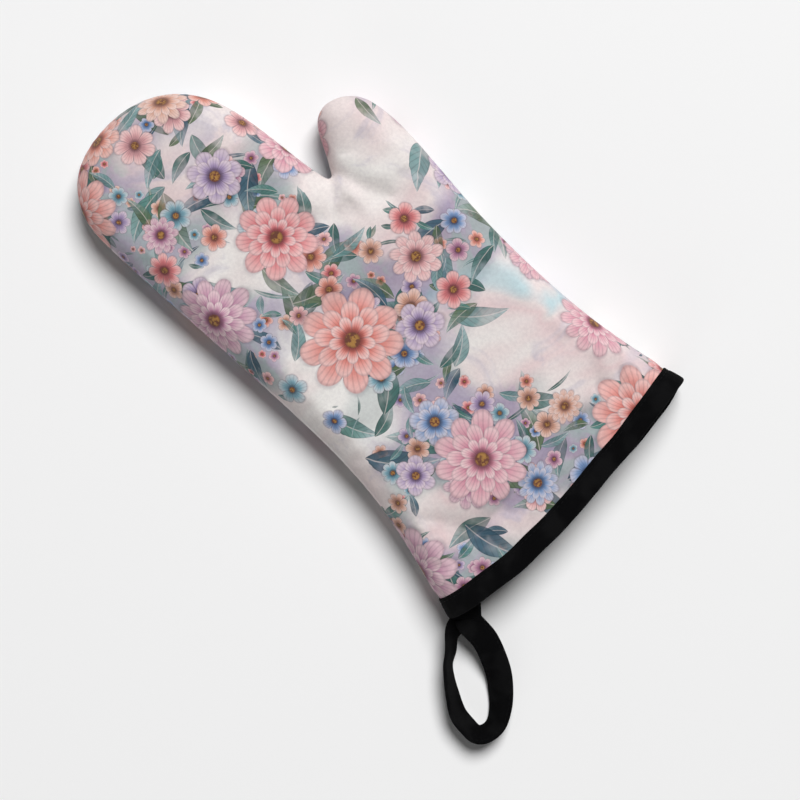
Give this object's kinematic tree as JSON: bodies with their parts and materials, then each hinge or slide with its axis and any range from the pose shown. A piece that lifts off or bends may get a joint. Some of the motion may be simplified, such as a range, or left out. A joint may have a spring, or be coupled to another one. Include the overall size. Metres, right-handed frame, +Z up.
{
  "type": "oven mitt",
  "caption": "Padded oven mitt with a printed cloth shell, batting and lining, a black bound cuff and a tape hanging loop; fingers and thumb fold.",
  "frame": {"origin": "on the resting face, under the middle of the palm, 130 mm from the cuff corners", "axes": "+Y along the hand to the fingertips, +X to the thumb, +Z up from the resting back panel to the front panel"},
  "size_m": [0.2288, 0.3956, 0.035],
  "materials": {
    "printed_cloth": "matt floral print on polyester twill",
    "batting": "needled white padding",
    "lining_cloth": "plain off-white cotton",
    "black_tape": "black folded bias tape",
    "black_thread": "black sewing thread"
  },
  "bodies": {
    "palm": {"front_shell_palm": "printed_cloth", "back_shell_palm": "printed_cloth", "front_batting_palm": "batting", "back_batting_palm": "batting", "front_lining_palm": "lining_cloth", "back_lining_palm": "lining_cloth", "cuff_binding": "black_tape", "binding_thread": "black_thread", "loop_tail": "black_tape"},
    "fingers": {"front_shell_fingers": "printed_cloth", "back_shell_fingers": "printed_cloth", "front_batting_fingers": "batting", "back_batting_fingers": "batting", "front_lining_fingers": "lining_cloth", "back_lining_fingers": "lining_cloth"},
    "thumb": {"front_shell_thumb": "printed_cloth", "back_shell_thumb": "printed_cloth", "front_batting_thumb": "batting", "back_batting_thumb": "batting", "front_lining_thumb": "lining_cloth", "back_lining_thumb": "lining_cloth"},
    "loop": {"hanging_loop": "black_tape"}
  },
  "joints": [
    {"name": "finger_fold", "type": "hinge", "parent": "palm", "child": "fingers", "pos_m": [0, 0.095, 0.0338], "axis": [1, 0, 0], "range_deg": [0, 75], "stiffness_Nm_per_rad": 0.03},
    {"name": "thumb_fold", "type": "hinge", "parent": "palm", "child": "thumb", "pos_m": [0.0361, 0.0855, 0.0338], "axis": [0.7547, -0.6561, 0], "range_deg": [0, 60], "stiffness_Nm_per_rad": 0.02},
    {"name": "loop_swing", "type": "hinge", "parent": "palm", "child": "loop", "pos_m": [-0.0872, -0.1383, 0.013], "axis": [-0.7314, 0.682, 0], "range_deg": [-60, 90]}
  ]
}
